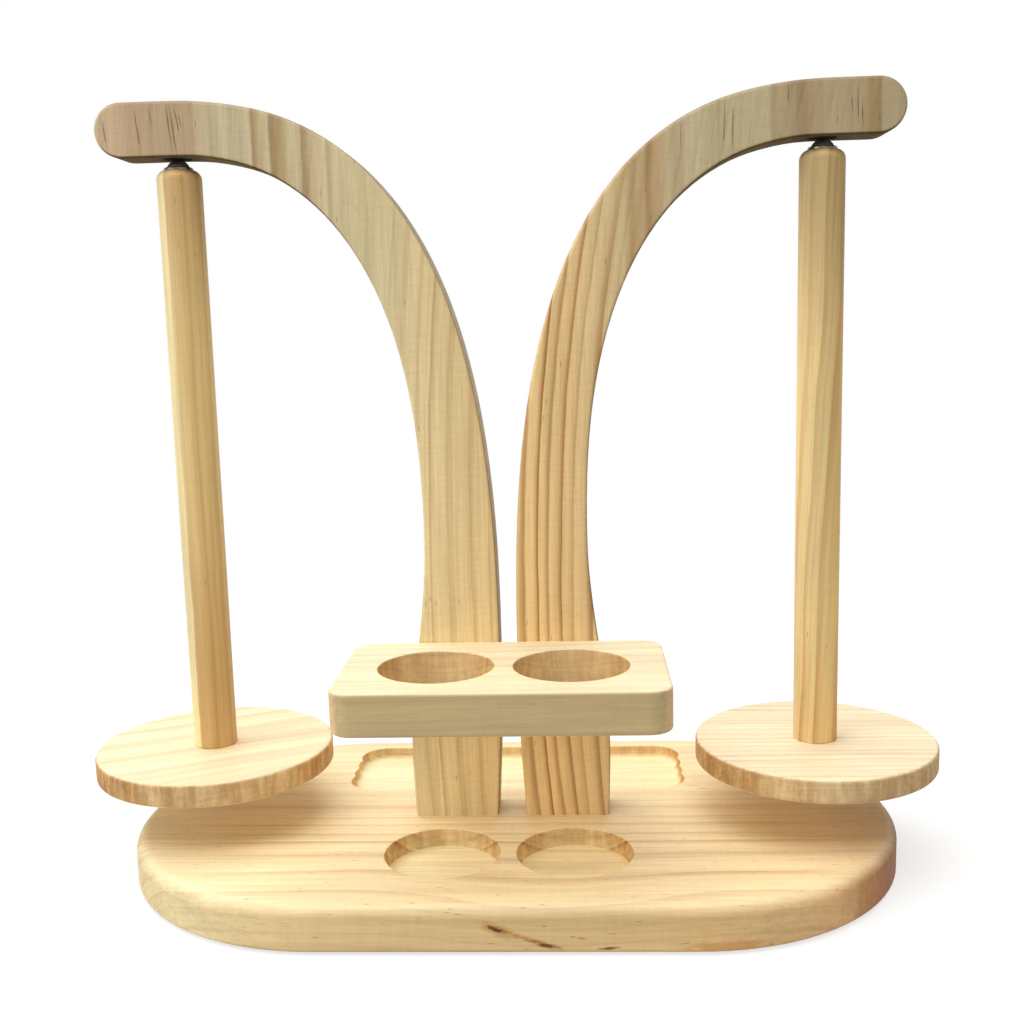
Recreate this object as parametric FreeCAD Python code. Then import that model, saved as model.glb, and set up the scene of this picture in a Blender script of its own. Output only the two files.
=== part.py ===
import FreeCAD, Part
import math
import os

from FreeCAD import Vector

os.makedirs("parts", exist_ok=True)

# A double yarn holder: two curved arms stand side by side on a board, and from
# a magnet under the tip of each arm hangs a spindle, a rod with a disc at its
# foot that carries a ball of yarn. The spindle hangs on a steel ball, so it
# swings, spins and pulls off. A rack with two round holes, fixed to the front
# of the arms, holds two cups or bottles whose feet stand in round recesses in
# the board, and a shallow tray is cut in the board behind the arms.
#
# Millimetres. X runs to the right, Y to the back and Z up. The origin is on the
# surface that the holder stands on, under the middle of its outer box.

# ---------------------------------------------------------------- dimensions

# Board, with full-round ends
BASE_LENGTH = 320.0
BASE_DEPTH = 178.0
BASE_THICKNESS = 18.0
BASE_TOP_ROUNDING = 5.0
BASE_FOOT_ROUNDING = 1.5

# Anti-slip pads stuck under the board
PAD_DIAMETER = 14.0
PAD_THICKNESS = 1.0
PAD_FROM_BOARD_END = 56.0
PAD_FROM_BOARD_SIDE = 37.0

# Tray between the arms and the board's back edge, its ends left as the round cutter made them
TRAY_LENGTH = 153.0
TRAY_DEPTH = 5.5
TRAY_BEHIND_ARMS = 12.0
TRAY_BACK_WALL = 12.0
TRAY_CUTTER_RADIUS = 12.0
TRAY_CUTTER_CORNER = 3.5
TRAY_CUTTER_PLUNGES = 4

# Round seats for two cups: a recess in the board under each hole in the rack, as wide
# as the hole at its floor and wider by CUP_RECESS_WIDENING all round at its mouth
CUP_SEAT_DIAMETER = 45.0
CUP_RECESS_DEPTH = 7.5
CUP_RECESS_WIDENING = 0.5
RIM_ROUNDING = 0.6

# Rack: the walls are measured at the narrowest place beside a hole
RACK_WALL_BETWEEN_HOLES = 7.5
RACK_END_WALL = 14.25
RACK_FRONT_WALL = 13.5
RACK_BACK_WALL = 13.5
RACK_THICKNESS = 16.5
RACK_TOP_HEIGHT = 76.3
RACK_CORNER_RADIUS = 9.0
RACK_EDGE_ROUNDING = 1.2

# Arms: heights are measured from the top of the board, widths from the middle
ARM_THICKNESS = 18.0
ARM_MIDDLE_Y = 2.0
ARM_RISE = 275.5
ARM_TIP_DEPTH = 21.5
ARM_EDGE_ROUNDING = 1.2
TIP_OVERHANG = 30.5
STEM_NEAR_X = 3.6
STEM_FAR_X = 33.6
FOOT_NEAR_X = 6.0
FOOT_FAR_X = 41.0
FLARE_HEIGHT = 33.0
FLARE_NEAR_X = 4.2
FLARE_FAR_X = 41.8
TOP_CURVE_START = 64.0
TOP_CURVE_PAST_SPINDLE = 11.5
TOP_CURVE_POWER = 2.75
UNDER_CURVE_START = 122.0
UNDER_CURVE_PAST_SPINDLE = 1.5
UNDER_CURVE_POWER = 2.4
CURVE_STEPS = 12

# Spindles
SPINDLE_X = 128.5
DISC_DIAMETER = 100.0
DISC_THICKNESS = 10.0
DISC_EDGE_ROUNDING = 1.5
DISC_ABOVE_BASE = 20.5
ROD_DIAMETER = 18.0
ROD_TOP_ROUNDING = 4.0
ROD_FOOT_ROUNDING = 0.4

# Magnet, ball and cup at the top of each spindle
MAGNET_DIAMETER = 12.0
MAGNET_THICKNESS = 5.0
MAGNET_EDGE_ROUNDING = 0.4
BALL_DIAMETER = 10.0
BALL_CENTRE_BELOW_WOOD = 0.9
CUP_WALL = 0.7
CUP_RIM_ABOVE_WOOD = 0.9
CUP_FLOOR_THICKNESS = 1.2
CUP_RIM_CHAMFER = 0.35
CUP_SHANK_DIAMETER = 4.0
CUP_SHANK_LENGTH = 12.0

# Countersunk wood screws: shank diameter, and how far each bites into the far piece
# or stops short of the hole behind the wall that it bites into
ARM_SCREW_DIAMETER = 4.0
ARM_SCREW_BITE = 22.0
ARM_SCREW_OFFSETS = (-10.0, 10.0)
RACK_SCREW_DIAMETER = 3.5
RACK_SCREW_SHORT_OF_HOLE = 3.5
RACK_SCREW_OFFSETS = (-9.0, 9.0)
DISC_SCREW_DIAMETER = 4.0
DISC_SCREW_BITE = 25.0
HEAD_TO_SHANK = 2.0
HEAD_SUNK = 0.4
CROSS_SLOT_TO_SHANK = 1.1
CROSS_SLOT_WIDTH = 0.8
CROSS_SLOT_DEPTH = 1.4

# Clearances
SCREW_HOLE_CLEARANCE = 0.05
MAGNET_CLEARANCE = 0.05
BALL_TO_MAGNET = 0.15
BALL_IN_CUP = 0.1
CUP_IN_ROD = 0.05
CUP_UNDER_FLOOR = 0.1

# ------------------------------------------------------------ derived places

BASE_TOP_Z = PAD_THICKNESS + BASE_THICKNESS
ARM_FRONT_Y = ARM_MIDDLE_Y - ARM_THICKNESS / 2
ARM_BACK_Y = ARM_MIDDLE_Y + ARM_THICKNESS / 2
ARM_UNDERSIDE_Z = BASE_TOP_Z + ARM_RISE
ARM_FOOT_MIDDLE_X = (FOOT_NEAR_X + FOOT_FAR_X) / 2
ARM_STEM_MIDDLE_X = (STEM_NEAR_X + STEM_FAR_X) / 2

TRAY_FRONT_Y = ARM_BACK_Y + TRAY_BEHIND_ARMS
TRAY_WIDTH = BASE_DEPTH / 2 - TRAY_BACK_WALL - TRAY_FRONT_Y

RACK_WIDTH = 2 * (CUP_SEAT_DIAMETER + RACK_END_WALL) + RACK_WALL_BETWEEN_HOLES
RACK_DEPTH = RACK_FRONT_WALL + CUP_SEAT_DIAMETER + RACK_BACK_WALL
RACK_TOP_Z = BASE_TOP_Z + RACK_TOP_HEIGHT
RACK_MIDDLE_Z = RACK_TOP_Z - RACK_THICKNESS / 2
RACK_SCREW_BITE = RACK_BACK_WALL - RACK_SCREW_SHORT_OF_HOLE
CUP_SEAT_X = (CUP_SEAT_DIAMETER + RACK_WALL_BETWEEN_HOLES) / 2
CUP_SEAT_Y = ARM_FRONT_Y - RACK_BACK_WALL - CUP_SEAT_DIAMETER / 2

DISC_BOTTOM_Z = BASE_TOP_Z + DISC_ABOVE_BASE
DISC_TOP_Z = DISC_BOTTOM_Z + DISC_THICKNESS
BALL_CENTRE_Z = ARM_UNDERSIDE_Z - BALL_TO_MAGNET - BALL_DIAMETER / 2
ROD_TOP_Z = BALL_CENTRE_Z + BALL_CENTRE_BELOW_WOOD
CUP_FLOOR_Z = BALL_CENTRE_Z - BALL_DIAMETER / 2 - BALL_IN_CUP - CUP_FLOOR_THICKNESS
CUP_DIAMETER = BALL_DIAMETER + 2 * (BALL_IN_CUP + CUP_WALL)

UP = Vector(0, 0, 1)
FORWARD = Vector(0, -1, 0)


# ------------------------------------------------------------------- helpers

def disc_at(x, y, z, radius, height):
    """An upright cylinder whose foot is centred on x, y, z."""
    return Part.makeCylinder(radius, height, Vector(x, y, z))


def turned(profile, x, y):
    """The solid swept by a closed radius and height profile about an upright axis."""
    points = [Vector(radius, 0, height) for radius, height in profile]
    face = Part.Face(Part.makePolygon(points + [points[0]]))
    solid = face.revolve(Vector(0, 0, 0), UP, 360)
    solid.translate(Vector(x, y, 0))
    return solid


def edges_at_height(shape, z):
    """The edges that lie whole in the level plane at z."""
    return [e for e in shape.Edges
            if abs(e.BoundBox.ZMin - z) < 1e-6 and abs(e.BoundBox.ZMax - z) < 1e-6]


def circles_at(shape, x, y, z, radius):
    """The circular edges of one radius about x, y in the level plane at z."""
    centre = Vector(x, y, z)
    return [e for e in edges_at_height(shape, z)
            if isinstance(e.Curve, Part.Circle)
            and abs(e.Curve.Radius - radius) < 1e-6
            and e.Curve.Center.distanceToPoint(centre) < 1e-6]


def mirrored(shape):
    """The same piece on the other side of the middle plane."""
    return shape.mirror(Vector(0, 0, 0), Vector(1, 0, 0))


def save(node, shape):
    shape.exportStep("parts/" + node + ".step")
    print(f"{node:20s} {len(shape.Solids)} solid(s) {shape.Volume / 1000:9.3f} cm3")


# -------------------------------------------------------------------- screws

def screw_profile(diameter, length, spare):
    """Half outline of a countersunk screw that points up, grown by spare all round."""
    shank = diameter / 2 + spare
    head = diameter * HEAD_TO_SHANK / 2 + spare
    head_depth = head - shank
    point = length - diameter
    return [(0, 0), (head, 0), (shank, head_depth), (shank, point), (0, length + spare)]


def placed_on_axis(solid, start, direction):
    """Turn a solid that points up from the origin to leave start in a direction."""
    placed = solid.copy()
    placed.Placement = FreeCAD.Placement(start, FreeCAD.Rotation(UP, direction))
    return placed


def screw(diameter, length, start, direction):
    """A countersunk wood screw with a cross slot, its head HEAD_SUNK below the surface."""
    body = turned(screw_profile(diameter, length - HEAD_SUNK, 0.0), 0, 0)
    slot_length = diameter * CROSS_SLOT_TO_SHANK
    for along, across in ((slot_length, CROSS_SLOT_WIDTH), (CROSS_SLOT_WIDTH, slot_length)):
        corner = Vector(-along / 2, -across / 2, 0)
        body = body.cut(Part.makeBox(along, across, CROSS_SLOT_DEPTH, corner))
    return placed_on_axis(body, start + direction * HEAD_SUNK, direction)


def screw_hole(diameter, length, start, direction):
    """The hole that a screw sits in, open at the surface above its sunk head."""
    spare = SCREW_HOLE_CLEARANCE
    body = turned(screw_profile(diameter, length - HEAD_SUNK, spare), 0, 0)
    head = diameter * HEAD_TO_SHANK / 2 + spare
    mouth = Part.makeCylinder(head, 2 * HEAD_SUNK, Vector(0, 0, -2 * HEAD_SUNK))
    return placed_on_axis(body.fuse(mouth), start + direction * HEAD_SUNK, direction)


def arm_screw_sets():
    """Diameter, length, start and direction of each screw from the board into the right arm."""
    return [(ARM_SCREW_DIAMETER, BASE_THICKNESS + ARM_SCREW_BITE,
             Vector(ARM_FOOT_MIDDLE_X + offset, ARM_MIDDLE_Y, PAD_THICKNESS), UP)
            for offset in ARM_SCREW_OFFSETS]


def rack_screw_sets():
    """The screws that pass through the right arm from behind into the rack."""
    return [(RACK_SCREW_DIAMETER, ARM_THICKNESS + RACK_SCREW_BITE,
             Vector(ARM_STEM_MIDDLE_X + offset, ARM_BACK_Y, RACK_MIDDLE_Z), FORWARD)
            for offset in RACK_SCREW_OFFSETS]


def disc_screw_set():
    """The screw that holds the right disc to its rod, from below."""
    return (DISC_SCREW_DIAMETER, DISC_THICKNESS + DISC_SCREW_BITE,
            Vector(SPINDLE_X, ARM_MIDDLE_Y, DISC_BOTTOM_Z), UP)


def both_sides(solids):
    return solids + [mirrored(solid) for solid in solids]


# --------------------------------------------------------------------- board

def stadium(length, depth, height, z):
    """A flat board with full-round ends."""
    radius = depth / 2
    half = length / 2 - radius
    right = Part.Arc(Vector(half, -radius, z), Vector(length / 2, 0, z), Vector(half, radius, z))
    left = Part.Arc(Vector(-half, radius, z), Vector(-length / 2, 0, z), Vector(-half, -radius, z))
    back = Part.LineSegment(Vector(half, radius, z), Vector(-half, radius, z))
    front = Part.LineSegment(Vector(-half, -radius, z), Vector(half, -radius, z))
    wire = Part.Wire([part.toShape() for part in (right, back, left, front)])
    return Part.Face(wire).extrude(Vector(0, 0, height))


def cutter_plunge(x, y):
    """The pit that a round cutter with rounded corners leaves, open above the board."""
    floor = BASE_TOP_Z - TRAY_DEPTH
    pit = disc_at(x, y, floor, TRAY_CUTTER_RADIUS, 2 * TRAY_DEPTH)
    return pit.makeFillet(TRAY_CUTTER_CORNER, edges_at_height(pit, floor))


def tray_cut():
    """The tray: a straight trough between two rows of cutter plunges."""
    floor = BASE_TOP_Z - TRAY_DEPTH
    end_x = TRAY_LENGTH / 2 - TRAY_CUTTER_RADIUS
    corner = Vector(-end_x, TRAY_FRONT_Y, floor)
    trough = Part.makeBox(2 * end_x, TRAY_WIDTH, 2 * TRAY_DEPTH, corner)
    long_edges = [e for e in edges_at_height(trough, floor) if e.BoundBox.YLength < 1e-6]
    cut = trough.makeFillet(TRAY_CUTTER_CORNER, long_edges)
    reach = TRAY_WIDTH - 2 * TRAY_CUTTER_RADIUS
    for number in range(TRAY_CUTTER_PLUNGES):
        y = TRAY_FRONT_Y + TRAY_CUTTER_RADIUS + reach * number / (TRAY_CUTTER_PLUNGES - 1)
        cut = cut.fuse([cutter_plunge(-end_x, y), cutter_plunge(end_x, y)])
    return cut


def base_board():
    board = stadium(BASE_LENGTH, BASE_DEPTH, BASE_THICKNESS, PAD_THICKNESS)
    board = board.makeFillet(BASE_TOP_ROUNDING, edges_at_height(board, BASE_TOP_Z))
    board = board.makeFillet(BASE_FOOT_ROUNDING, edges_at_height(board, PAD_THICKNESS))
    board = board.cut(tray_cut())
    floor_radius = CUP_SEAT_DIAMETER / 2
    mouth_radius = floor_radius + CUP_RECESS_WIDENING
    floor = BASE_TOP_Z - CUP_RECESS_DEPTH
    for x in (-CUP_SEAT_X, CUP_SEAT_X):
        recess = Part.makeCone(floor_radius, floor_radius + 2 * CUP_RECESS_WIDENING,
                               2 * CUP_RECESS_DEPTH, Vector(x, CUP_SEAT_Y, floor))
        board = board.cut(recess)
        rim = circles_at(board, x, CUP_SEAT_Y, BASE_TOP_Z, mouth_radius)
        board = board.makeFillet(RIM_ROUNDING, rim)
    holes = both_sides([screw_hole(*values) for values in arm_screw_sets()])
    return board.cut(holes)


def base_pads():
    """Four thin round pads on which the board stands."""
    spread_x = BASE_LENGTH / 2 - PAD_FROM_BOARD_END
    spread_y = BASE_DEPTH / 2 - PAD_FROM_BOARD_SIDE
    return Part.makeCompound([disc_at(x, y, 0, PAD_DIAMETER / 2, PAD_THICKNESS)
                              for x in (-spread_x, spread_x)
                              for y in (-spread_y, spread_y)])


# ---------------------------------------------------------------------- arms

def lame_points(start, end, power):
    """Points on a quarter of a Lame curve that leaves start upright and reaches end level."""
    width = end.x - start.x
    height = end.z - start.z
    points = []
    for step in range(CURVE_STEPS + 1):
        angle = math.pi / 2 * step / CURVE_STEPS
        across = max(math.cos(angle), 0.0) ** (2 / power)
        up = math.sin(angle) ** (2 / power)
        points.append(Vector(end.x - width * across, 0, start.z + height * up))
    return points


def smooth_edge(points, first_tangent, last_tangent):
    """A smooth curve through points that keeps the given directions at its ends."""
    curve = Part.BSplineCurve()
    curve.interpolate(Points=points, InitialTangent=first_tangent, FinalTangent=last_tangent)
    return curve.toShape()


def arm_outline():
    """The right arm's outline in the plane Y = 0, with Z measured from the board's top."""
    tip_radius = ARM_TIP_DEPTH / 2
    tip_x = SPINDLE_X + TIP_OVERHANG - tip_radius
    top_z = ARM_RISE + ARM_TIP_DEPTH
    level = Vector(1, 0, 0)

    near_foot = Vector(FOOT_NEAR_X, 0, 0)
    near_flare = Vector(FLARE_NEAR_X, 0, FLARE_HEIGHT)
    top_start = Vector(STEM_NEAR_X, 0, TOP_CURVE_START)
    top_end = Vector(SPINDLE_X + TOP_CURVE_PAST_SPINDLE, 0, top_z)
    tip_top = Vector(tip_x, 0, top_z)
    tip_end = Vector(tip_x + tip_radius, 0, ARM_RISE + tip_radius)
    tip_bottom = Vector(tip_x, 0, ARM_RISE)
    under_end = Vector(SPINDLE_X + UNDER_CURVE_PAST_SPINDLE, 0, ARM_RISE)
    under_start = Vector(STEM_FAR_X, 0, UNDER_CURVE_START)
    far_flare = Vector(FLARE_FAR_X, 0, FLARE_HEIGHT)
    far_foot = Vector(FOOT_FAR_X, 0, 0)

    near_lean = near_flare - near_foot
    far_lean = far_flare - far_foot
    return Part.Wire([
        smooth_edge([near_foot, near_flare, top_start], near_lean, UP),
        smooth_edge(lame_points(top_start, top_end, TOP_CURVE_POWER), UP, level),
        Part.LineSegment(top_end, tip_top).toShape(),
        Part.Arc(tip_top, tip_end, tip_bottom).toShape(),
        Part.LineSegment(under_end, tip_bottom).toShape(),
        smooth_edge(lame_points(under_start, under_end, UNDER_CURVE_POWER), UP, level),
        smooth_edge([far_foot, far_flare, under_start], far_lean, UP),
        Part.LineSegment(near_foot, far_foot).toShape(),
    ])


def rounded_arm():
    """The plain right arm with its long edges eased, in its place."""
    blank = Part.Face(arm_outline()).extrude(Vector(0, ARM_THICKNESS, 0))
    blank.translate(Vector(0, ARM_FRONT_Y, BASE_TOP_Z))
    long_edges = []
    for edge in blank.Edges:
        box = edge.BoundBox
        in_a_face = box.YMax - box.YMin < 1e-6
        on_the_board = box.ZMax - BASE_TOP_Z < 1e-6
        if in_a_face and not on_the_board:
            long_edges.append(edge)
    return blank.makeFillet(ARM_EDGE_ROUNDING, long_edges)


def right_arm():
    arm = rounded_arm()
    radius = MAGNET_DIAMETER / 2 + MAGNET_CLEARANCE
    depth = MAGNET_THICKNESS + MAGNET_CLEARANCE
    pocket = disc_at(SPINDLE_X, ARM_MIDDLE_Y, ARM_UNDERSIDE_Z - depth, radius, 2 * depth)
    holes = [screw_hole(*values) for values in arm_screw_sets() + rack_screw_sets()]
    return arm.cut([pocket] + holes)


# ---------------------------------------------------------------------- rack

def cup_rack():
    """The board in front of the arms, with a round hole over each recess."""
    corner = Vector(-RACK_WIDTH / 2, ARM_FRONT_Y - RACK_DEPTH, RACK_TOP_Z - RACK_THICKNESS)
    rack = Part.makeBox(RACK_WIDTH, RACK_DEPTH, RACK_THICKNESS, corner)
    upright = [e for e in rack.Edges if abs(e.BoundBox.ZLength - RACK_THICKNESS) < 1e-6]
    rack = rack.makeFillet(RACK_CORNER_RADIUS, upright)
    rims = edges_at_height(rack, RACK_TOP_Z) + edges_at_height(rack, corner.z)
    rack = rack.makeFillet(RACK_EDGE_ROUNDING, rims)
    radius = CUP_SEAT_DIAMETER / 2
    for x in (-CUP_SEAT_X, CUP_SEAT_X):
        hole = disc_at(x, CUP_SEAT_Y, corner.z - RACK_THICKNESS, radius, 3 * RACK_THICKNESS)
        rack = rack.cut(hole)
        hole_rims = (circles_at(rack, x, CUP_SEAT_Y, RACK_TOP_Z, radius)
                     + circles_at(rack, x, CUP_SEAT_Y, corner.z, radius))
        rack = rack.makeFillet(RIM_ROUNDING, hole_rims)
    return rack.cut(both_sides([screw_hole(*values) for values in rack_screw_sets()]))


# ------------------------------------------------------------------ spindles

def magnet():
    """A disc magnet glued into the arm, its face level with the arm's underside."""
    puck = disc_at(SPINDLE_X, ARM_MIDDLE_Y, ARM_UNDERSIDE_Z, MAGNET_DIAMETER / 2, MAGNET_THICKNESS)
    return puck.makeFillet(MAGNET_EDGE_ROUNDING, edges_at_height(puck, ARM_UNDERSIDE_Z))


def ball():
    return Part.makeSphere(BALL_DIAMETER / 2, Vector(SPINDLE_X, ARM_MIDDLE_Y, BALL_CENTRE_Z))


def ball_cup():
    """A steel cup in the rod's top that closes round the ball just above its middle."""
    radius = CUP_DIAMETER / 2
    rim = ROD_TOP_Z + CUP_RIM_ABOVE_WOOD
    shank = CUP_SHANK_DIAMETER / 2
    shank_z = CUP_FLOOR_Z - CUP_SHANK_LENGTH
    outline = [(0, shank_z), (shank - CUP_RIM_CHAMFER, shank_z), (shank, shank_z + CUP_RIM_CHAMFER),
               (shank, CUP_FLOOR_Z), (radius, CUP_FLOOR_Z), (radius, rim - CUP_RIM_CHAMFER),
               (radius - CUP_RIM_CHAMFER, rim), (0, rim)]
    blank = turned(outline, SPINDLE_X, ARM_MIDDLE_Y)
    socket = Part.makeSphere(BALL_DIAMETER / 2 + BALL_IN_CUP,
                             Vector(SPINDLE_X, ARM_MIDDLE_Y, BALL_CENTRE_Z))
    return blank.cut(socket)


def spindle_rod():
    """The round rod, bored for the cup at its top and for the disc's screw at its foot."""
    height = ROD_TOP_Z - DISC_TOP_Z
    rod = disc_at(SPINDLE_X, ARM_MIDDLE_Y, DISC_TOP_Z, ROD_DIAMETER / 2, height)
    rod = rod.makeFillet(ROD_TOP_ROUNDING, edges_at_height(rod, ROD_TOP_Z))
    rod = rod.makeFillet(ROD_FOOT_ROUNDING, edges_at_height(rod, DISC_TOP_Z))
    bore_floor = CUP_FLOOR_Z - CUP_UNDER_FLOOR
    bore = disc_at(SPINDLE_X, ARM_MIDDLE_Y, bore_floor, CUP_DIAMETER / 2 + CUP_IN_ROD,
                   2 * (ROD_TOP_Z - bore_floor))
    shank_floor = bore_floor - CUP_SHANK_LENGTH - CUP_UNDER_FLOOR
    shank_hole = disc_at(SPINDLE_X, ARM_MIDDLE_Y, shank_floor, CUP_SHANK_DIAMETER / 2 + CUP_IN_ROD,
                         bore_floor - shank_floor + CUP_UNDER_FLOOR)
    return rod.cut([bore, shank_hole, screw_hole(*disc_screw_set())])


def spindle_disc():
    disc = disc_at(SPINDLE_X, ARM_MIDDLE_Y, DISC_BOTTOM_Z, DISC_DIAMETER / 2, DISC_THICKNESS)
    rims = edges_at_height(disc, DISC_BOTTOM_Z) + edges_at_height(disc, DISC_TOP_Z)
    disc = disc.makeFillet(DISC_EDGE_ROUNDING, rims)
    return disc.cut(screw_hole(*disc_screw_set()))


# --------------------------------------------------------------------- parts

save("base_board", base_board())
save("base_pads", base_pads())
save("cup_rack", cup_rack())

right_side = {
    "arm": right_arm(),
    "arm_screws": Part.makeCompound([screw(*values) for values in arm_screw_sets()]),
    "rack_screws": Part.makeCompound([screw(*values) for values in rack_screw_sets()]),
    "magnet": magnet(),
    "ball": ball(),
    "ball_cup": ball_cup(),
    "spindle_rod": spindle_rod(),
    "spindle_disc": spindle_disc(),
    "disc_screw": screw(*disc_screw_set()),
}
for name, shape in right_side.items():
    save("right_" + name, shape)
    save("left_" + name, mirrored(shape))
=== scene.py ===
# %% [markdown]
# # A pendulum yarn holder in pine
#
# Two curved arms stand on a round-ended board. Under the tip of each arm a spindle, a rod
# with a disc at its foot, hangs on a steel ball from a magnet. A rack on the front of the
# arms takes two cups. Everything but the pivots, screws and pads is pale pine.
#
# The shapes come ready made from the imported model, with their fillets and true sizes. What
# is left for this lesson is the finish. Each board gets a wood that runs right through it,
# so that growth rings seen on a top carry on over the edge and down the wall of a hole.

# %% Load the frame
import math

import bmesh
import bpy
from mathutils import Euler, Matrix, Vector

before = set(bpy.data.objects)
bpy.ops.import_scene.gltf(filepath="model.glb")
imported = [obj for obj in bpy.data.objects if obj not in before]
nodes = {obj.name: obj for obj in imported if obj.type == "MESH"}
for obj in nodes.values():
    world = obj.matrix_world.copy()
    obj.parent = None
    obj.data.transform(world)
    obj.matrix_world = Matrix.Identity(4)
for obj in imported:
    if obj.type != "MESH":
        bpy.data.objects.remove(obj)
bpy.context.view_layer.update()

# %% [markdown]
# ## Helpers for shader nodes
#
# Materials here are graphs of dozens of nodes. They could be clicked together in the
# editor, but a few small functions build them just as well and keep every number in sight.
# `put` adds one node and feeds it, and `calc` and `vector_calc` are sums on numbers and on
# vectors.

# %% Node helpers
def put(tree, kind, inputs=None, **settings):
    """Add a node, set its properties, then feed its inputs with numbers or other outputs."""
    node = tree.nodes.new("ShaderNode" + kind)
    for name, value in settings.items():
        setattr(node, name, value)
    for name, value in (inputs or {}).items():
        if isinstance(value, bpy.types.NodeSocket):
            tree.links.new(value, node.inputs[name])
        else:
            node.inputs[name].default_value = value
    return node


def calc(tree, operation, a, b=0.0, clamp=False):
    """One sum on two numbers."""
    node = put(tree, "Math", {0: a, 1: b}, operation=operation, use_clamp=clamp)
    return node.outputs[0]


def vector_calc(tree, operation, a, b=(0, 0, 0)):
    """One sum on two vectors, whether its result is a vector or a number."""
    node = put(tree, "VectorMath", {0: a, 1: b}, operation=operation)
    number = operation in ("LENGTH", "DOT_PRODUCT", "DISTANCE")
    return node.outputs["Value" if number else "Vector"]


def fade(tree, value, low, high):
    """0 below low, 1 above high, and a soft step between. With low above high it falls."""
    node = put(tree, "MapRange", {"Value": value, "From Min": low, "From Max": high},
               interpolation_type="SMOOTHSTEP")
    return node.outputs["Result"]


def mix_colour(tree, amount, a, b, blend="MIX"):
    """Mix, multiply or otherwise blend two colours."""
    node = put(tree, "Mix", {0: amount, 6: a, 7: b}, data_type="RGBA", blend_type=blend)
    return node.outputs[2]


def ramp(tree, value, stops):
    """A colour ramp's two outputs. Each stop is a place from 0 to 1, then a grey or a colour."""
    node = put(tree, "ValToRGB", {"Fac": value})
    elements = node.color_ramp.elements
    while len(elements) < len(stops):
        elements.new(0.5)
    for element, (place, colour) in zip(elements, stops):
        element.position = place
        element.color = colour if isinstance(colour, tuple) else (colour, colour, colour, 1)
    return node.outputs


def srgb(red, green, blue):
    """A colour as a paint program names it, 0 to 255, in the linear numbers of a shader."""
    linear = [v / 12.92 if v <= 0.04045 else ((v + 0.055) / 1.055) ** 2.4
              for v in (red / 255, green / 255, blue / 255)]
    return (*linear, 1.0)


WHITE = (1, 1, 1, 1)


def new_group(name, inputs, outputs):
    """A shader node group with its sockets, and the nodes at its two ends."""
    tree = bpy.data.node_groups.new(name, "ShaderNodeTree")
    for socket, kind, value in inputs:
        made = tree.interface.new_socket(socket, in_out="INPUT", socket_type="NodeSocket" + kind)
        made.default_value = value
    for socket, kind in outputs:
        tree.interface.new_socket(socket, in_out="OUTPUT", socket_type="NodeSocket" + kind)
    return tree, tree.nodes.new("NodeGroupInput").outputs, tree.nodes.new("NodeGroupOutput")


print("helpers ready, pine early wood is", [round(v, 3) for v in srgb(240, 215, 168)])

# %% [markdown]
# ## Camera
#
# The holder is looked at from a little above and just right of the middle, with a lens a bit
# longer than normal. The camera could be aimed with a Track To constraint, but a plain matrix
# of turn, tip and tilt keeps it exactly where it is put.

# %% Camera
CAMERA_PLACE = (0.0276, -0.4989, 0.2265)
CAMERA_TURN = math.radians(2.86)
CAMERA_TIP = math.radians(8.87)
CAMERA_TILT = math.radians(-1.49)
CAMERA_LENS_MM = 42.86

camera = bpy.data.objects.new("camera", bpy.data.cameras.new("camera"))
camera.data.lens = CAMERA_LENS_MM
camera.data.clip_start = 0.01
camera.matrix_world = (Matrix.Translation(CAMERA_PLACE)
                       @ Matrix.Rotation(CAMERA_TURN, 4, "Z")
                       @ Matrix.Rotation(math.pi / 2 - CAMERA_TIP, 4, "X")
                       @ Matrix.Rotation(CAMERA_TILT, 4, "Z"))
bpy.context.scene.collection.objects.link(camera)
bpy.context.scene.camera = camera
bpy.context.scene.view_settings.view_transform = "Standard"
print("camera at", [round(v, 3) for v in camera.matrix_world.translation])

# %% [markdown]
# ## Light
#
# Pine looks best under a big soft lamp from above, as under a window in the roof: tops are
# bright, fronts are in half shade and edges stay readable. A weaker lamp from the left gives
# the rods and the ends of the board a light and a dark side. Both are area lamps, because a
# sun or a spot would draw hard shadows, and the even white world fills the rest.

# %% Lamps
LAMP_TARGET = (0.0, 0.0, 0.12)


def area_lamp(name, place, size, power, colour):
    """A square area lamp that points at the middle of the holder."""
    lamp = bpy.data.lights.new(name, "AREA")
    lamp.size = size
    lamp.energy = power
    lamp.color = colour
    holder = bpy.data.objects.new(name, lamp)
    holder.location = place
    aim = Vector(LAMP_TARGET) - Vector(place)
    holder.rotation_mode = "QUATERNION"
    holder.rotation_quaternion = aim.to_track_quat("-Z", "Y")
    bpy.context.scene.collection.objects.link(holder)
    print(name, power, "W")


area_lamp("lamp_above", (-0.30, 0.0, 1.45), 2.0, 33.0, (1.0, 0.99, 0.98))
area_lamp("lamp_left", (-1.15, -0.75, 0.5), 0.9, 3.7, (1.0, 0.98, 0.95))

# %% [markdown]
# ## White room
#
# The holder stands on a white table in a white room. A plain white world would light the
# wood from all sides and flatten it. But a world shader can tell the camera's rays from the
# rays that carry light: to the camera, and in reflections, the room is plain white, while as
# a source of light it is a dimmer, warmer grey, so that the lamps still shape the wood.

# %% World
ROOM_LIGHT = 0.33
ROOM_WARMTH = (1.0, 0.96, 0.88, 1)


def seen_directly(tree):
    """1 for rays from the camera, or by way of metal and glass, and 0 for rays of light."""
    path = tree.nodes.new("ShaderNodeLightPath").outputs
    seen = calc(tree, "MAXIMUM", path["Is Camera Ray"], path["Is Glossy Ray"])
    return calc(tree, "MAXIMUM", seen, path["Is Transmission Ray"])


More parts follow.
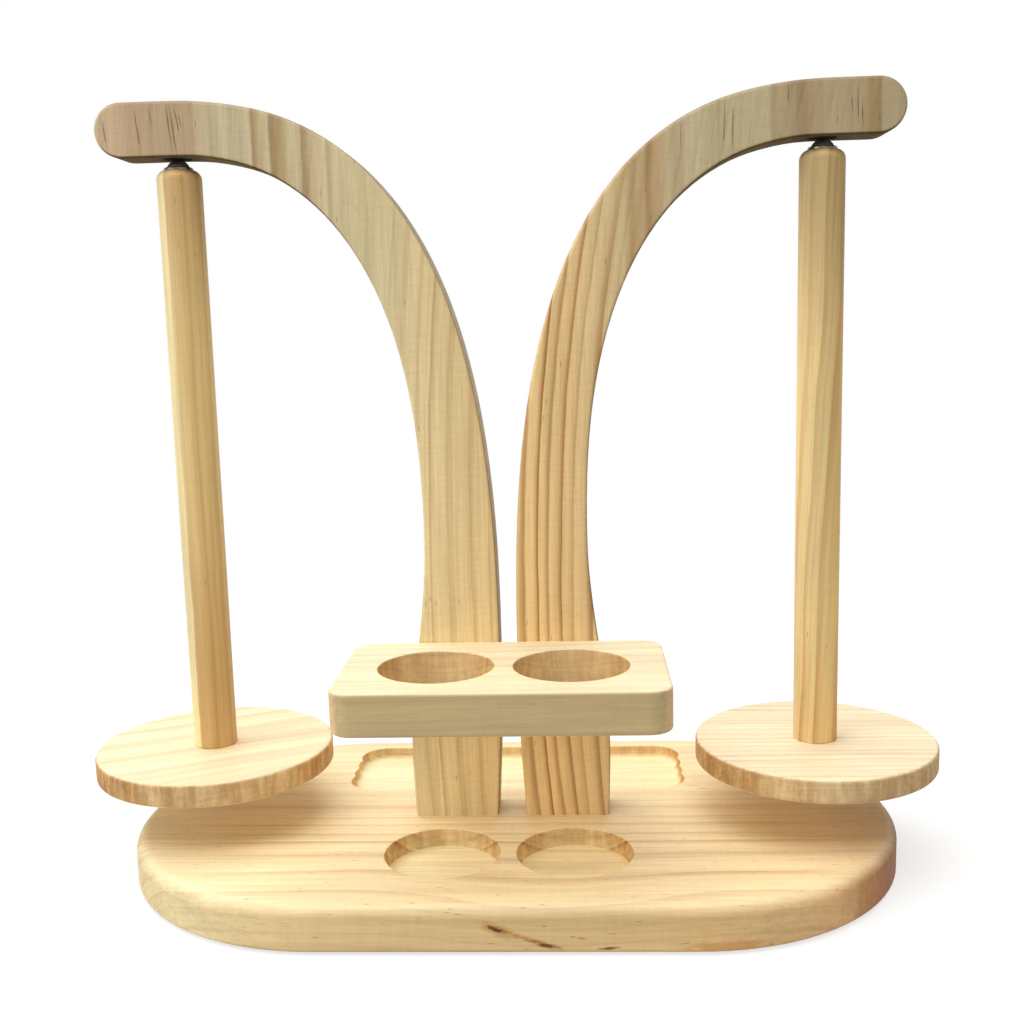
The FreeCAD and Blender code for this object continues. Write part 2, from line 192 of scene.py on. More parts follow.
world = bpy.data.worlds.new("white_room")
world.use_nodes = True
bpy.context.scene.world = world
tree = world.node_tree
seen = seen_directly(tree)
strength = put(tree, "MapRange", {"Value": seen, "To Min": ROOM_LIGHT, "To Max": 1.0})
air = mix_colour(tree, seen, ROOM_WARMTH, WHITE)
tree.links.new(strength.outputs["Result"], tree.nodes["Background"].inputs["Strength"])
tree.links.new(air, tree.nodes["Background"].inputs["Color"])
print("room lights with strength", ROOM_LIGHT)

# %% [markdown]
# ## Table
#
# A grey that catches the lamps shows the soft shadow near the feet, and a glow on top of it
# brings it up to white. It fades to the white of the room far from the holder, so that no
# horizon shows. The light that it throws back up has a shader of its own, in the colour of
# pale wood.

# %% Table
TABLE_RADIUS = 3.0
TABLE_GREY = 0.32
TABLE_BOUNCE = (0.46, 0.41, 0.34, 1)
TABLE_GLOW = 0.73
SHADOW_REACH = 0.30
WHITE_FROM = 0.75

outline = bmesh.new()
bmesh.ops.create_circle(outline, cap_ends=True, segments=96, radius=TABLE_RADIUS)
table_mesh = bpy.data.meshes.new("table_top")
outline.to_mesh(table_mesh)
outline.free()
table = bpy.data.objects.new("table_top", table_mesh)
bpy.context.scene.collection.objects.link(table)

paint = bpy.data.materials.new("table_white")
paint.use_nodes = True
tree = paint.node_tree
tree.nodes.clear()
here = tree.nodes.new("ShaderNodeTexCoord").outputs["Object"]
far = fade(tree, vector_calc(tree, "LENGTH", here), SHADOW_REACH, WHITE_FROM)
matt = put(tree, "BsdfDiffuse", {"Color": (TABLE_GREY, TABLE_GREY, TABLE_GREY, 1)})
bounce = put(tree, "BsdfDiffuse", {"Color": TABLE_BOUNCE})
near_glow = put(tree, "Emission", {"Strength": TABLE_GLOW})
plain = put(tree, "Emission", {"Strength": 1.0})
lit = put(tree, "AddShader", {0: matt.outputs[0], 1: near_glow.outputs[0]})
shown = put(tree, "MixShader", {0: far, 1: lit.outputs[0], 2: plain.outputs[0]})
either = put(tree, "MixShader", {0: seen_directly(tree), 1: bounce.outputs[0],
                                 2: shown.outputs[0]})
end = tree.nodes.new("ShaderNodeOutputMaterial")
tree.links.new(either.outputs[0], end.inputs["Surface"])
table_mesh.materials.append(paint)
print("table of radius", TABLE_RADIUS, "m")

# %% [markdown]
# ## Growth rings
#
# A tree lays down a pale, soft layer each spring and a thin brown one each summer. Sawn pine
# shows these layers as lines where they run out at a face, as arcs on end grain, and as long
# arches where a face just grazes them. An image texture shows one face only and breaks at
# each edge. So the rings are a solid pattern: every point's distance from the pith, the
# middle of the trunk, says which ring it is in. The place comes in as millimetres in the
# board's own axes, with the grain along Z. Noise that is drawn out along the grain makes the
# rings wander, and a ramp gives each one a slow rise to brown and a sharp end.

# %% Node group: rings
SMALL_WANDER = (2.4, 2.4, 0)
UNEVEN_YEARS = 1.6
# how brown a ring is from one spring to the next: a slow rise, a sharp end
RING_PROFILE = [(0.0, 0.60), (0.06, 0.12), (0.13, 0.0), (0.38, 0.07), (0.62, 0.32),
                (0.84, 0.85), (0.95, 1.0), (1.0, 0.80)]


def stretched(tree, place, across, along, offset):
    """The place with one scale across the grain and another along it, and shifted."""
    spread = vector_calc(tree, "MULTIPLY", place, (across, across, along))
    return vector_calc(tree, "ADD", spread, offset)


def noise_colour(tree, place, detail=2.0):
    """Soft noise about zero in three channels, as a vector."""
    node = put(tree, "TexNoise", {"Vector": place, "Scale": 1.0, "Detail": detail})
    return vector_calc(tree, "SUBTRACT", node.outputs["Color"], (0.5, 0.5, 0.5))


def noise_value(tree, place, detail=2.0, roughness=0.5):
    """Soft noise from 0 to 1."""
    node = put(tree, "TexNoise", {"Vector": place, "Scale": 1.0, "Detail": detail,
                                  "Roughness": roughness})
    return node.outputs[0]


rings, given, result = new_group(
    "pine_rings",
    [("Place", "Vector", (0, 0, 0)), ("Pith", "Vector", (0, 0, 0)),
     ("Ring Width", "Float", 5.0), ("Wander", "Float", 10.0), ("Push", "Float", 0.0),
     ("Jag", "Float", 1.0), ("Thin", "Float", 1.0)],
    [("Late Wood", "Float"), ("Ring Shade", "Float"), ("Fine Lines", "Float")])
slow = noise_colour(rings, stretched(rings, given["Place"], 0.011, 0.0035, (7, 3, 5)))
middling = noise_colour(rings, stretched(rings, given["Place"], 0.07, 0.014, (1, 9, 4)))
jagged = noise_colour(rings, stretched(rings, given["Place"], 0.35, 0.9, (2, 6, 8)), 3.0)
wander = put(rings, "VectorMath", {0: slow, "Scale": given["Wander"]}, operation="SCALE")
moved = vector_calc(rings, "ADD", given["Place"], wander.outputs[0])
small = vector_calc(rings, "MULTIPLY", middling, SMALL_WANDER)
moved = vector_calc(rings, "ADD", moved, small)
jag = put(rings, "VectorMath", {0: jagged, "Scale": given["Jag"]}, operation="SCALE")
moved = vector_calc(rings, "ADD", moved, jag.outputs[0])
from_pith = vector_calc(rings, "SUBTRACT", moved, given["Pith"])
distance = vector_calc(rings, "LENGTH", vector_calc(rings, "MULTIPLY", from_pith, (1, 1, 0)))
distance = calc(rings, "ADD", distance, given["Push"])
count = calc(rings, "DIVIDE", distance, given["Ring Width"])
uneven = put(rings, "TexNoise", {"W": count, "Scale": 0.37, "Detail": 1.0},
             noise_dimensions="1D")
count = calc(rings, "ADD", count, calc(rings, "MULTIPLY", uneven.outputs[0], UNEVEN_YEARS))
year = put(rings, "TexWhiteNoise", {"W": calc(rings, "FLOOR", count)}, noise_dimensions="1D")
late = ramp(rings, calc(rings, "FRACT", count), RING_PROFILE)["Color"]
late = calc(rings, "POWER", late, given["Thin"])
strength = put(rings, "MapRange", {"Value": year.outputs["Value"], "To Min": 0.40, "To Max": 1.0})
late = calc(rings, "MULTIPLY", late, strength.outputs["Result"])
fine = put(rings, "TexNoise", {"W": count, "Scale": 4.5, "Detail": 3.0, "Roughness": 0.65},
           noise_dimensions="1D")
rings.links.new(late, result.inputs["Late Wood"])
rings.links.new(year.outputs["Value"], result.inputs["Ring Shade"])
rings.links.new(fine.outputs[0], result.inputs["Fine Lines"])
print("rings group has", len(rings.nodes), "nodes")

# %% [markdown]
# ## Fibres, pores and small cracks
#
# Between the rings pine has fine streaks of fibre, short dark resin pores, and here and there
# a hair crack where it dried. All run with the grain, so all come from patterns stretched
# many times longer along the grain than across it. Cells of a Voronoi texture, stretched
# in the same way, leave one thin dash in each, and a share of them is left out.

# %% Node groups: fibres and dashes
fibres, given, result = new_group(
    "pine_fibres", [("Place", "Vector", (0, 0, 0))],
    [("Streak", "Float"), ("Tone", "Float"), ("Ripple", "Float")])
streak = noise_value(fibres, stretched(fibres, given["Place"], 0.6, 0.02, (3, 1, 2)), 4.0, 0.7)
tone = noise_value(fibres, stretched(fibres, given["Place"], 0.10, 0.007, (5, 2, 9)), 2.0)
ripple = noise_value(fibres, stretched(fibres, given["Place"], 0.13, 0.75, (8, 8, 1)), 4.0)
fibres.links.new(streak, result.inputs["Streak"])
fibres.links.new(tone, result.inputs["Tone"])
fibres.links.new(ripple, result.inputs["Ripple"])

dashes, given, result = new_group(
    "pine_dashes",
    [("Place", "Vector", (0, 0, 0)), ("Across", "Float", 0.5), ("Along", "Float", 0.04),
     ("Thickness", "Float", 0.07), ("Share", "Float", 0.3)],
    [("Mask", "Float")])
scale = put(dashes, "CombineXYZ", {"X": given["Across"], "Y": given["Across"],
                                   "Z": given["Along"]}).outputs[0]
cells = put(dashes, "TexVoronoi",
            {"Vector": vector_calc(dashes, "MULTIPLY", given["Place"], scale), "Scale": 1.0})
kept = put(dashes, "SeparateColor", {"Color": cells.outputs["Color"]}).outputs["Red"]
kept = calc(dashes, "LESS_THAN", kept, given["Share"])
edge = calc(dashes, "DIVIDE", cells.outputs["Distance"], given["Thickness"])
mask = calc(dashes, "MULTIPLY", fade(dashes, edge, 1.0, 0.4), kept)
dashes.links.new(mask, result.inputs["Mask"])
print("fibres and dashes groups ready")

# %% [markdown]
# ## Pine
#
# The two patterns come together here. Early and late wood each have a colour, streaks and
# slow changes of tone vary it, and pores darken it. All boards could have one material, but
# then they would look sawn from one log. So this is a group with many inputs, and each
# board's material uses it with its own pith, ring width and colours. Out come a colour, a
# roughness and a height.

# %% Node group: pine
PORE_BROWN = (0.62, 0.46, 0.30, 1)


def shaded(tree, colour, value, depth):
    """The colour made darker or lighter by a pattern from 0 to 1, by up to half of depth."""
    change = calc(tree, "MULTIPLY", calc(tree, "SUBTRACT", value, 0.5), depth)
    factor = calc(tree, "ADD", change, 1.0)
    node = put(tree, "VectorMath", {0: colour, "Scale": factor}, operation="SCALE")
    return node.outputs["Vector"]


def alignment(tree, normal, direction):
    """1 where the surface faces along a direction, either way, and 0 where it lies across."""
    return calc(tree, "ABSOLUTE", vector_calc(tree, "DOT_PRODUCT", normal, direction))


pine, given, result = new_group(
    "pine",
    [("Place", "Vector", (0, 0, 0)), ("Grain", "Vector", (0, 0, 1)),
     ("Face", "Vector", (0, 0, 1)), ("Pith", "Vector", (0, 0, 0)),
     ("Ring Width", "Float", 5.0), ("Wander", "Float", 10.0), ("Push", "Float", 0.0),
     ("Contrast", "Float", 1.0), ("Early", "Color", (1, 1, 1, 1)),
     ("Late", "Color", (0, 0, 0, 1)), ("Pores", "Float", 0.3), ("Edge Stain", "Float", 0.0),
     ("End Stain", "Float", 0.9), ("Under Shade And Dullness", "Float", 0.0), ("Washboard", "Float", 0.1),
     ("Saw Marks", "Vector", (0.03, 0.16, 0.16)), ("Jag", "Float", 0.4), ("Thin", "Float", 1.0)],
    [("Color", "Color"), ("Roughness", "Float"), ("Height", "Float")])
ring = put(pine, "Group", node_tree=rings)
for name in ("Place", "Pith", "Ring Width", "Wander", "Push", "Jag", "Thin"):
    pine.links.new(given[name], ring.inputs[name])
late_wood, ring_shade = ring.outputs["Late Wood"], ring.outputs["Ring Shade"]
fibre = put(pine, "Group", {"Place": given["Place"]}, node_tree=fibres)
pore = put(pine, "Group", {"Place": given["Place"], "Across": 0.5, "Along": 0.07,
                           "Thickness": 0.13, "Share": given["Pores"]}, node_tree=dashes)

normal = pine.nodes.new("ShaderNodeTexCoord").outputs["Normal"]
end_grain = fade(pine, alignment(pine, normal, given["Grain"]), 0.40, 0.95)
brown = calc(pine, "MULTIPLY", late_wood, given["Contrast"])
brown = calc(pine, "MULTIPLY", brown, calc(pine, "ADD", end_grain, 1.0), clamp=True)
colour = mix_colour(pine, brown, given["Early"], given["Late"])
colour = shaded(pine, colour, ring_shade, 0.05)
colour = shaded(pine, colour, ring.outputs["Fine Lines"], 0.28)
colour = shaded(pine, colour, fibre.outputs["Tone"], 0.40)
colour = shaded(pine, colour, fibre.outputs["Streak"], 0.50)
colour = shaded(pine, colour, fibre.outputs["Ripple"], given["Washboard"])
colour = mix_colour(pine, calc(pine, "MULTIPLY", pore.outputs["Mask"], 0.8), colour,
                    PORE_BROWN, "MULTIPLY")
print("pine has its rings, streaks and pores")

# %% [markdown]
# ## Pine at its edges
#
# End grain drinks more of the finish than a face does: it is browner, and its rings show as
# short bars. To find it, the group compares the surface's normal with the direction of the
# grain. In the same way it finds the sawn edges of a board, which are patchier than its
# planed face, and the undersides, which are rougher and painted dark olive as painted shade.
# These could be separate
# materials on separate faces, but a comparison of normals goes softly round a rounded edge.

# %% Node group: pine, its edges and outputs
BAR_BROWN = (0.82, 0.67, 0.47)
SAW_BROWN = (0.66, 0.52, 0.38, 1)
# painted shade: the dark olive that downward faces are multiplied by
UNDER_PAINTED_SHADE = (0.23, 0.23, 0.11, 1)
SMOOTH_WOOD = 0.40
ROUGH_WOOD = 0.60
END_ROUGHER = 0.12
UNDER_ROUGHER = 0.45

bars = noise_value(pine, vector_calc(pine, "MULTIPLY", given["Place"], (0.05, 0.42, 0.12)),
                   3.0, 0.7)
bars = shaded(pine, BAR_BROWN, fade(pine, bars, 0.30, 0.70), 0.55)
barred = calc(pine, "MAXIMUM", given["End Stain"], given["Edge Stain"])
barred = calc(pine, "MULTIPLY", end_grain, barred, clamp=True)
colour = mix_colour(pine, barred, colour, bars, "MULTIPLY")
sawn = fade(pine, alignment(pine, normal, given["Face"]), 0.90, 0.40)
patches = noise_value(pine, vector_calc(pine, "MULTIPLY", given["Place"], given["Saw Marks"]),
                      4.0, 0.72)
stain = calc(pine, "MULTIPLY", calc(pine, "MULTIPLY", sawn, given["Edge Stain"]),
             fade(pine, patches, 0.30, 0.65))
colour = mix_colour(pine, stain, colour, SAW_BROWN, "MULTIPLY")
upward = put(pine, "SeparateXYZ", {"Vector": normal}).outputs["Z"]
# downward faces get a painted shade in their colour, and a rougher finish
under = calc(pine, "MULTIPLY", fade(pine, upward, -0.25, -0.6), given["Under Shade And Dullness"])
colour = mix_colour(pine, under, colour, UNDER_PAINTED_SHADE, "MULTIPLY")

roughness = put(pine, "MapRange", {"Value": fibre.outputs["Streak"], "To Min": SMOOTH_WOOD,
                                   "To Max": ROUGH_WOOD}).outputs["Result"]
roughness = calc(pine, "ADD", roughness, calc(pine, "MULTIPLY", end_grain, END_ROUGHER))
dull = calc(pine, "MULTIPLY", under, UNDER_ROUGHER)
roughness = calc(pine, "ADD", roughness, dull, clamp=True)
height = calc(pine, "ADD", calc(pine, "MULTIPLY", late_wood, 0.5), fibre.outputs["Streak"])
height = calc(pine, "SUBTRACT", height, pore.outputs["Mask"])
pine.links.new(colour, result.inputs["Color"])
pine.links.new(roughness, result.inputs["Roughness"])
pine.links.new(height, result.inputs["Height"])
print("pine group has", len(pine.nodes), "nodes")

# %% [markdown]
# ## Marks
#
# No board is without a few marks of its own: a bark pocket, a hair crack, a stain. Each is a
# small stretched ball at a place in the wood, with a ragged outline. One group makes the mask
# of one mark, and a board's material multiplies its colour by as many marks as it has.

# %% Node group: one mark
mark, given, result = new_group(
    "wood_mark",
    [("Place", "Vector", (0, 0, 0)), ("Centre", "Vector", (0, 0, 0)),
     ("Size", "Vector", (1, 1, 1)), ("Ragged", "Float", 0.5), ("Slant", "Float", 0.0)],
    [("Mask", "Float")])
offset = vector_calc(mark, "SUBTRACT", given["Place"], given["Centre"])
along = put(mark, "SeparateXYZ", {"Vector": offset}).outputs["Z"]
sideways = put(mark, "CombineXYZ", {"X": calc(mark, "MULTIPLY", along, given["Slant"])})
offset = vector_calc(mark, "SUBTRACT", offset, sideways.outputs[0])
reach = vector_calc(mark, "LENGTH", vector_calc(mark, "DIVIDE", offset, given["Size"]))
rough_edge = noise_value(mark, stretched(mark, given["Place"], 0.9, 0.35, (4, 4, 4)), 3.0)
rough_edge = calc(mark, "MULTIPLY", calc(mark, "SUBTRACT", rough_edge, 0.5), given["Ragged"])
reach = calc(mark, "ADD", reach, rough_edge)
mark.links.new(fade(mark, reach, 1.0, 0.35), result.inputs["Mask"])


def marked(tree, place, tones, marks):
    """Tones multiplied by marks: centre and half size in the board's axes, how far the mark
    leans off the grain, how ragged it is, and its tone."""
    for centre, size, slant, ragged, tone in marks:
        spot = put(tree, "Group", {"Place": place, "Centre": centre, "Size": size,
                                   "Slant": slant, "Ragged": ragged}, node_tree=mark)
        tones = mix_colour(tree, spot.outputs["Mask"], tones, (*tone, 1), "MULTIPLY")
    return tones


print("mark group ready")

# %% [markdown]
# ## A material for one board
#
# Each board gets its own material, since each came from another tree or another part of one.
# A Mapping node of the Texture kind carries the object's coordinates over to the board's own
# axes: it turns the grain onto Z and divides metres into millimetres.
# The shader itself, with everything that is even over the surface, stays in the material.

# %% Board materials
MILLIMETRE = 0.001
PORE_DEPTH = 0.00012
PORE_BUMP = 0.6


def new_material(name):
    """A material with a shader, and its node tree."""
    made = bpy.data.materials.new(name)
    made.use_nodes = True
    return made, made.node_tree, made.node_tree.nodes["Principled BSDF"]


def board_place(tree, turn):
    """A point in the board's own millimetres, with the grain along Z."""
    here = tree.nodes.new("ShaderNodeTexCoord").outputs["Object"]
    turned = tuple(math.radians(angle) for angle in turn)
    mapping = put(tree, "Mapping", {"Vector": here, "Rotation": turned,
                                    "Scale": (MILLIMETRE, MILLIMETRE, MILLIMETRE)},
                  vector_type="TEXTURE")
    return mapping.outputs["Vector"]


def board_material(name, turn, pith, ring_width, early, late, wander=12.0, contrast=1.0,
                   pores=0.3, edge_stain=0.0, end_stain=0.9, under_shade_and_dullness=0.0, washboard=0.1,
                   jag=0.4, thin=1.0, face=(0, 0, 1), saw_marks=(0.03, 0.16, 0.16),
                   push=None, stain=None, tint=None):
    """Pine with its grain turned by these angles from Z. Three functions of the tree and the
    place may go with it: push shifts the rings, stain says how brown its sawn walls are, and
    tint gives tones and a contrast."""
    made, tree, shader = new_material(name)
    place = board_place(tree, turn)
    grain = Euler([math.radians(angle) for angle in turn]).to_matrix() @ Vector((0, 0, 1))
    wood = put(tree, "Group",
               {"Place": place, "Grain": tuple(grain), "Face": face, "Pith": (*pith, 0),
                "Ring Width": ring_width, "Wander": wander, "Contrast": contrast,
                "Early": early, "Late": late, "Pores": pores, "Edge Stain": edge_stain,
                "End Stain": end_stain, "Under Shade And Dullness": under_shade_and_dullness, "Washboard": washboard,
                "Saw Marks": saw_marks, "Jag": jag, "Thin": thin}, node_tree=pine)
    if push:
        tree.links.new(push(tree, place), wood.inputs["Push"])
    if stain:
        tree.links.new(stain(tree, place), wood.inputs["Edge Stain"])
    colour = wood.outputs["Color"]
    if tint:
        tones, share = tint(tree, place)
        colour = mix_colour(tree, 1.0, colour, tones, "MULTIPLY")
        tree.links.new(calc(tree, "MULTIPLY", share, contrast), wood.inputs["Contrast"])
    bump = put(tree, "Bump", {"Height": wood.outputs["Height"], "Strength": PORE_BUMP,
                              "Distance": PORE_DEPTH})
    tree.links.new(colour, shader.inputs["Base Color"])
    tree.links.new(wood.outputs["Roughness"], shader.inputs["Roughness"])
    tree.links.new(bump.outputs["Normal"], shader.inputs["Normal"])
    print(name, "rings", ring_width, "mm")
    return made


def dress(node, material):
    """Give a ready piece its finish."""
    mesh = nodes[node].data
    mesh.materials.clear()
    mesh.materials.append(material)


print("board materials can be made")

# %% [markdown]
# ## Tones across a board
#
# A panel that was glued up from staves changes colour from one to the next, and so does a
# plank between its heart and its outside. A colour ramp across the board gives these tones.
# Its alpha isn't needed for see-through here, so it carries how strongly the rings show at
# the same place. The place is shifted a little by noise first, so that no border is ruled.

# %% Tones
def tones_across(axis, low, high, stops, marks=()):
    """A tint function. Each stop is a place in millimetres along the axis, then a tone, whose
    fourth number is the strength of the rings there."""
    def tint(tree, place):
        shift = noise_colour(tree, stretched(tree, place, 0.25, 0.10, (3, 5, 7)), 3.0)
        shift = vector_calc(tree, "MULTIPLY", shift, (1.0, 1.0, 6))
        moved = vector_calc(tree, "ADD", place, shift)
        value = put(tree, "SeparateXYZ", {"Vector": moved}).outputs[axis]
        across = put(tree, "MapRange", {"Value": value, "From Min": low, "From Max": high})
        found = ramp(tree, across.outputs["Result"],
                     [((mm - low) / (high - low), tone) for mm, tone in stops])
        return marked(tree, place, found["Color"], marks), found["Alpha"]
    return tint


print("tones ready")

# %% [markdown]
# ## The board on the table
#
# The base board came from a trunk whose pith lay well below the board and just in front of
# its front edge. So the rings meet its top at a flat angle in front, where the lines are far
# apart, and closer together towards the back, all straight along the board. The front edge
# has three small bark pockets in a row, with a brown line between them, and the right end of
# the board is red heartwood, painted darker still as painted shade, most on its edge. Such
# marks could be painted, but then they would stop at the edge they were painted on. As places
# in the wood they go round it.

# %% Base board: its marks and tones
BARK = (0.26, 0.15, 0.09)
BARK_HALO = (0.82, 0.66, 0.48)
# places are down, back and along, in millimetres from the point on the table that is under
# the middle of the board
base_marks = [
    ((-10.0, -89.0, -2.0), (3.4, 8.0, 9.0), 0.36, 0.8, BARK_HALO),
    ((-10.2, -89.5, -2.4), (1.4, 4.0, 4.8), 0.30, 1.5, BARK),
    ((-10.4, -89.5, -3.4), (0.6, 4.0, 2.6), 0.36, 1.0, BARK),
    ((-6.6, -89.5, 8.5), (1.3, 4.0, 10.0), 0.34, 1.2, (0.80, 0.64, 0.48)),
    ((-4.4, -89.0, 15.0), (1.8, 5.0, 9.0), 0.28, 0.8, BARK_HALO),
    ((-4.2, -89.5, 15.4), (1.0, 4.0, 6.2), 0.22, 1.5, BARK),
    ((-3.0, -89.0, 38.0), (0.7, 4.0, 5.0), -0.06, 1.0, (0.28, 0.17, 0.10)),
    ((-7.4, -89.5, 25.0), (0.35, 3.0, 1.8), 0.1, 1.0, (0.60, 0.44, 0.31)),
    ((-6.8, -89.5, 28.5), (0.4, 3.0, 2.4), 0.1, 1.0, (0.60, 0.44, 0.31)),
    ((-11.5, -89.5, 15.0), (0.35, 3.0, 1.4), 0.2, 1.0, (0.66, 0.50, 0.36)),
    ((-3.5, -89.0, 84.0), (2.8, 6.0, 27.0), 0.0, 1.0, (0.86, 0.69, 0.54)),
    ((-14.0, -89.5, -115.0), (1.0, 3.0, 2.2), 0.0, 1.2, (0.55, 0.42, 0.30)),
    ((-19.0, 25.5, 79.0), (3.0, 0.45, 5.0), 0.0, 1.0, (0.55, 0.40, 0.26)),
    ((-19.0, 22.0, 83.0), (3.0, 0.40, 4.0), 0.0, 1.0, (0.60, 0.44, 0.30)),
]
# the dark red stops at the right end are heartwood and painted shade together
base_tones = [
    (-160, (1.06, 1.15, 1.17, 0.2)), (-125, (1.06, 1.12, 1.10, 0.4)),
    (-90, (1.03, 1.02, 0.92, 1)),
    (-60, (1.00, 0.96, 0.83, 1)), (10, (1.02, 0.96, 0.82, 1)), (70, (1.06, 0.95, 0.77, 1)),
    (108, (1.07, 0.94, 0.77, 0.9)), (120, (1.05, 0.86, 0.71, 0.5)),
    (130, (0.96, 0.73, 0.56, 0.3)), (133, (0.77, 0.50, 0.32, 0.1)),
    (146, (0.50, 0.26, 0.15, 0.1)), (160, (0.30, 0.14, 0.08, 0.1))]
# how strongly the rings show, from the front edge to the back one
RINGS_TO_THE_BACK = [(0.0, 0.15), (0.08, 1.0), (0.5, 1.0), (0.72, 0.4)]
print(len(base_marks), "marks and", len(base_tones), "tones on the base board")

# %% [markdown]
# ## Pits in the board
#
# A cutter made the two cup recesses and the tray. Its walls cross the grain and are browner
# than the planed top, and its floors are freshly cut and paler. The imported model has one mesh
# for the whole board, so a second material would need its faces to be picked one by one. A
# box around the pits, made of soft steps on the place, finds them just as well.

# %% Base board: its pits
FRESH_WOOD = (1.05, 1.17, 1.36, 1)
SOFT_STEP = 1
# half length to either side, then front and back, of a box around the pits
CUPS = (53, -69, -17)
TRAY = (79, 20, 80)


def between(tree, value, low, high):
    """1 from low to high and 0 outside, with a soft step at either end."""
    above = fade(tree, value, low - SOFT_STEP, low + SOFT_STEP)
    below = fade(tree, value, high + SOFT_STEP, high - SOFT_STEP)
    return calc(tree, "MULTIPLY", above, below)


def in_box(tree, parts, aside, front, back):
    """1 inside a box that is as long to the left as to the right."""
    along = between(tree, parts["Z"], -aside, aside)
    return calc(tree, "MULTIPLY", along, between(tree, parts["Y"], front, back))


def in_pits(tree, place):
    """1 in the two cup recesses and in the tray, 0 elsewhere on the board and below them."""
    parts = put(tree, "SeparateXYZ", {"Vector": place}).outputs
    either = calc(tree, "MAXIMUM", in_box(tree, parts, *CUPS), in_box(tree, parts, *TRAY))
    above_floors = fade(tree, parts["X"], -9.0, -10.5)
    return calc(tree, "MULTIPLY", either, above_floors)


print("pits can be found")

# %% [markdown]
# ## Finish of the board
#
# Three functions go with the board's material, and each adds its own nodes to it. One pushes
# the rings, so that they dip towards the front edge. One says how brown a cut wall is. One
# gives the tones along the board, strong on its edge and weak on the planed top, with the
# marks over them. Written apart, each can be changed without reading the others.

# %% Base board: its finish
ARCH_PLACE = 14.0
ARCH_REACH = 75.0
ARCH_HEIGHT = 4.5


def base_stain(tree, place):
    """The walls that the cutter left in the pits are browner than the outer edge."""
    return calc(tree, "ADD", calc(tree, "MULTIPLY", in_pits(tree, place), 0.55), 0.10)


def base_tint(tree, place):
    """Red heartwood at the right end, darkened further as painted shade, most on the edge, and
    paler wood down in the pits.
    """
    tones, share = tones_across("Z", -160, 160, base_tones)(tree, place)
    down = put(tree, "SeparateXYZ", {"Vector": place}).outputs["X"]
    on_edge = put(tree, "MapRange", {"Value": down, "From Min": -18.6, "From Max": -15.0,
                                     "To Min": 0.3, "To Max": 1.0}).outputs["Result"]
    tones = mix_colour(tree, on_edge, WHITE, tones)
    floor = calc(tree, "MULTIPLY", fade(tree, down, -16.0, -13.8), in_pits(tree, place))
    tones = mix_colour(tree, floor, tones, FRESH_WOOD, "MULTIPLY")
    back = put(tree, "SeparateXYZ", {"Vector": place}).outputs["Y"]
    back = calc(tree, "DIVIDE", calc(tree, "ADD", back, 90.0), 180.0)
    rings = ramp(tree, back, RINGS_TO_THE_BACK)["Color"]
    cut = calc(tree, "MULTIPLY", fade(tree, down, -17.9, -17.0), in_pits(tree, place))
    share = calc(tree, "MULTIPLY", calc(tree, "MULTIPLY", share, rings),
                 calc(tree, "SUBTRACT", 1.0, calc(tree, "MULTIPLY", cut, 0.5)))
    return marked(tree, place, tones, base_marks), share


def front_arch(tree, place):
    """The rings dip towards the front edge, a little to the right of the middle."""
    parts = put(tree, "SeparateXYZ", {"Vector": place}).outputs
    aside = calc(tree, "ABSOLUTE", calc(tree, "SUBTRACT", parts["Z"], ARCH_PLACE))
    hill = fade(tree, aside, ARCH_REACH, 0.0)
    hill = calc(tree, "MULTIPLY", hill, fade(tree, parts["Y"], -20, -62))
    return calc(tree, "MULTIPLY", hill, ARCH_HEIGHT)


dress("base_board", board_material(
    "base_pine", turn=(0, 90, 0), pith=(60, -105), ring_width=7.0, wander=7.0,
    early=srgb(247, 226, 182), late=srgb(196, 152, 98), contrast=0.6, pores=0.8,
    end_stain=0.25, thin=2.2, push=front_arch, stain=base_stain, tint=base_tint))

# %% [markdown]
# ## Rack
#
# The rack came from a paler, slower grown board, so its rings are narrow and faint. They run
# along its length. Its front edge is greyer than the face, and the walls of the two holes are
# brown where the grain ends in them. The way a surface faces tells top, front and end apart,
# and its place tells a hole from an outer edge.

# %% Rack
GREY_EDGE = (0.71, 0.67, 0.55, 1)
BROWN_END = (0.93, 0.85, 0.74, 1)
BROWN_HOLE = (0.96, 0.89, 0.74, 1)
HOLES = (56, -71, -15)


def in_holes(tree, place):
    """1 between the rack's outer edges, so on the walls of its holes, and 0 on the edges."""
    return in_box(tree, put(tree, "SeparateXYZ", {"Vector": place}).outputs, *HOLES)


def hole_stain(tree, place):
    """The walls of the holes are brown, the outer edges are clean."""
    return calc(tree, "MULTIPLY", in_holes(tree, place), 0.55)


def rack_tint(tree, place):
    """The outer edges differ from the top by the way they face, and hardly show rings."""
    normal = tree.nodes.new("ShaderNodeTexCoord").outputs["Normal"]
    facing = put(tree, "SeparateXYZ", {"Vector": normal}).outputs
    holes = in_holes(tree, place)
    outside = calc(tree, "SUBTRACT", 1.0, holes)
    wall = calc(tree, "MULTIPLY", fade(tree, alignment(tree, normal, (0, 0, 1)), 0.5, 0.1), holes)
    front = calc(tree, "MULTIPLY", fade(tree, facing["Y"], -0.4, -0.85), outside)
    sideways = calc(tree, "ABSOLUTE", facing["X"])
    end = calc(tree, "MULTIPLY", fade(tree, sideways, 0.5, 0.9), outside)
    tones = mix_colour(tree, front, WHITE, GREY_EDGE)
    tones = mix_colour(tree, end, tones, BROWN_END)
    tones = mix_colour(tree, wall, tones, BROWN_HOLE)
    quiet = calc(tree, "ADD", calc(tree, "ADD", front, end), calc(tree, "MULTIPLY", wall, 0.7))
    rings = calc(tree, "SUBTRACT", 1.0, calc(tree, "MULTIPLY", quiet, 0.8))
    return tones, calc(tree, "MAXIMUM", rings, 0.2)


